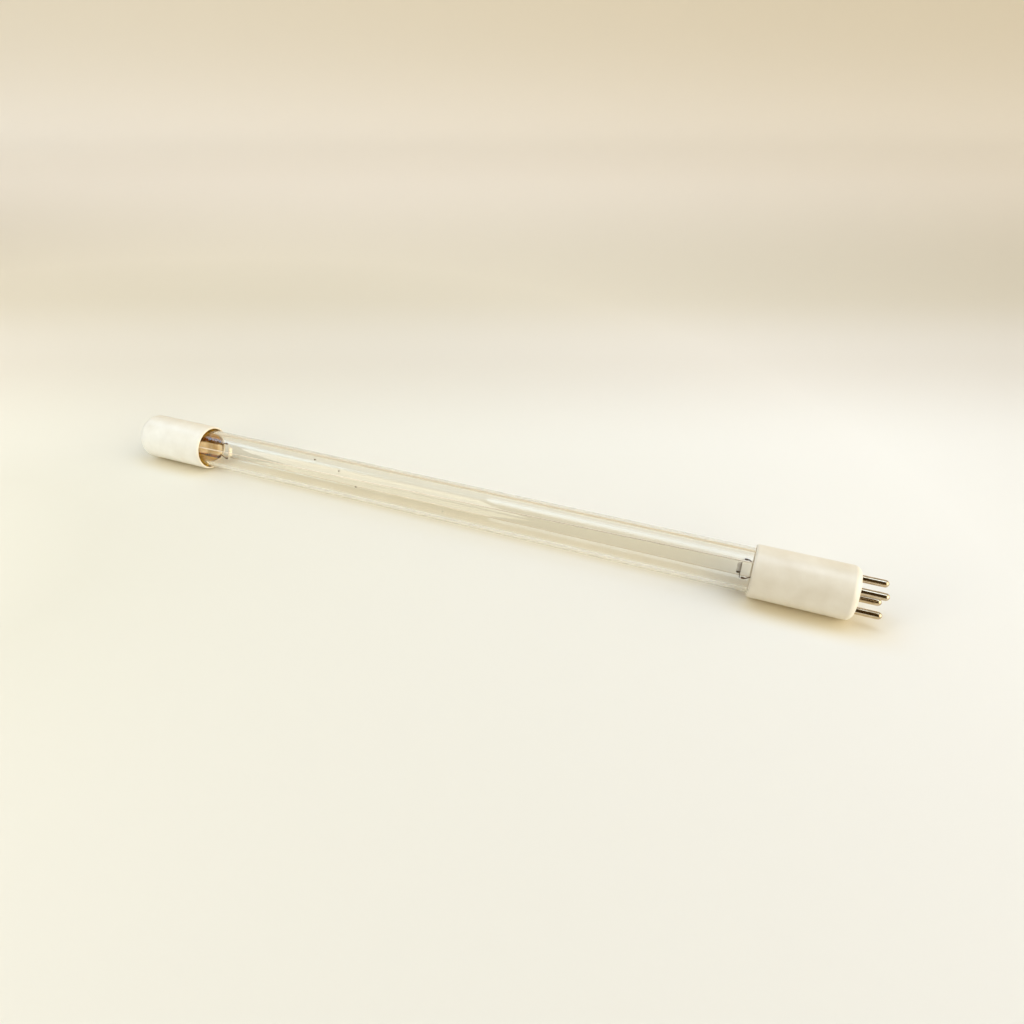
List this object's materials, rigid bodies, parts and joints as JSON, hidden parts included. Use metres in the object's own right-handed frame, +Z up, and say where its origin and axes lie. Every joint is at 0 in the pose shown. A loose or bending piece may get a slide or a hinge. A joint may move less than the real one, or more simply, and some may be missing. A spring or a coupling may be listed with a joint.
{
  "type": "germicidal lamp tube",
  "caption": "Straight clear quartz tube lamp with a plain hollow cap on one end, a round pin base on the other and a thin return wire along the glass.",
  "frame": {"origin": "on the surface that the lamp lies on, below the middle of its length", "axes": "+X along the lamp towards its pins, +Z up from the surface"},
  "size_m": [0.2886, 0.0176, 0.0177],
  "materials": {
    "quartz": "clear, polished",
    "ceramic": "off-white, satin",
    "cement": "rough, golden brown",
    "pin_plating": "nickel plate, bright",
    "nickel_wire": "drawn wire",
    "lead_metal": "dull, dark",
    "coil_coating": "powdery, pale",
    "mercury": "liquid mirror"
  },
  "bodies": {
    "root": {"quartz_tube": "quartz", "far_stem": "quartz", "base_stem": "quartz", "end_cap": "ceramic", "pin_base": "ceramic", "far_cement_1": "cement", "far_cement_2": "cement", "base_cement_1": "cement", "base_cement_2": "cement", "pin_1": "pin_plating", "pin_2": "pin_plating", "pin_3": "pin_plating", "pin_4": "pin_plating", "return_wire_1": "nickel_wire", "return_wire_2": "nickel_wire", "far_lead_1": "lead_metal", "far_lead_2": "lead_metal", "base_lead_1": "lead_metal", "base_lead_2": "lead_metal", "far_filament": "coil_coating", "base_filament": "coil_coating", "mercury_bead": "mercury"}
  },
  "joints": []
}
